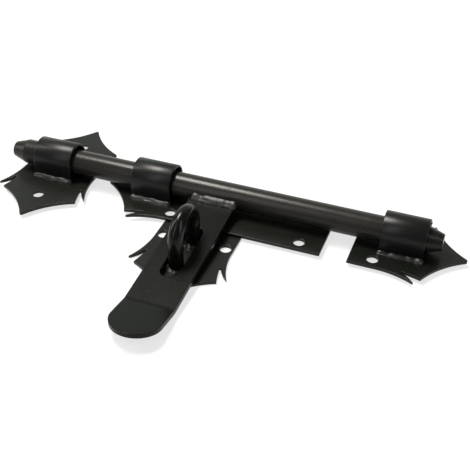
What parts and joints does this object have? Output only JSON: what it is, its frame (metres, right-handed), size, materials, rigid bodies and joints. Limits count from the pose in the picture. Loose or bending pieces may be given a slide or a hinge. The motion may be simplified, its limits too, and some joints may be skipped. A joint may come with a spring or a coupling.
{
  "type": "sliding padlock bolt for a gate",
  "caption": "Surface-mounted sliding rod bolt for a gate, with ornamental barbed plates, welded guide tubes and a slotted strip handle that drops over a padlock staple.",
  "frame": {"origin": "centre of the guide plate's four screw holes, on the plate's back face", "axes": "+X along the bolt from the keeper to the end plate, +Y away from the handle, +Z out of the gate"},
  "size_m": [0.301, 0.1853, 0.0362],
  "materials": {
    "painted_plate": "semi-gloss black paint on flat steel bar",
    "painted_tube": "semi-gloss black paint on steel tube",
    "painted_bar": "semi-gloss black paint on round steel bar",
    "painted_weld": "gloss black paint pooled over weld beads"
  },
  "bodies": {
    "base": {"keeper_plate": "painted_plate", "keeper_sleeve": "painted_tube", "keeper_weld_front": "painted_weld", "keeper_weld_rear": "painted_weld", "guide_plate": "painted_plate", "guide_sleeve": "painted_tube", "guide_weld_front": "painted_weld", "guide_weld_rear": "painted_weld", "staple_plate": "painted_plate", "lap_weld": "painted_weld", "padlock_staple": "painted_bar", "staple_weld_front": "painted_weld", "staple_weld_rear": "painted_weld", "end_plate": "painted_plate", "end_sleeve": "painted_tube", "end_weld_front": "painted_weld", "end_weld_rear": "painted_weld"},
    "bolt": {"bolt_rod": "painted_bar"},
    "handle": {"handle": "painted_plate", "handle_weld": "painted_weld"}
  },
  "joints": [
    {"name": "bolt_slide", "type": "slide", "parent": "base", "child": "bolt", "axis": [1, 0, 0], "range_m": [-0.0009, 0.0009]},
    {"name": "handle_lift", "type": "hinge", "parent": "bolt", "child": "handle", "pos_m": [-0.0178, 0, 0.0112], "axis": [-1, 0, 0], "range_deg": [0, 180]}
  ]
}
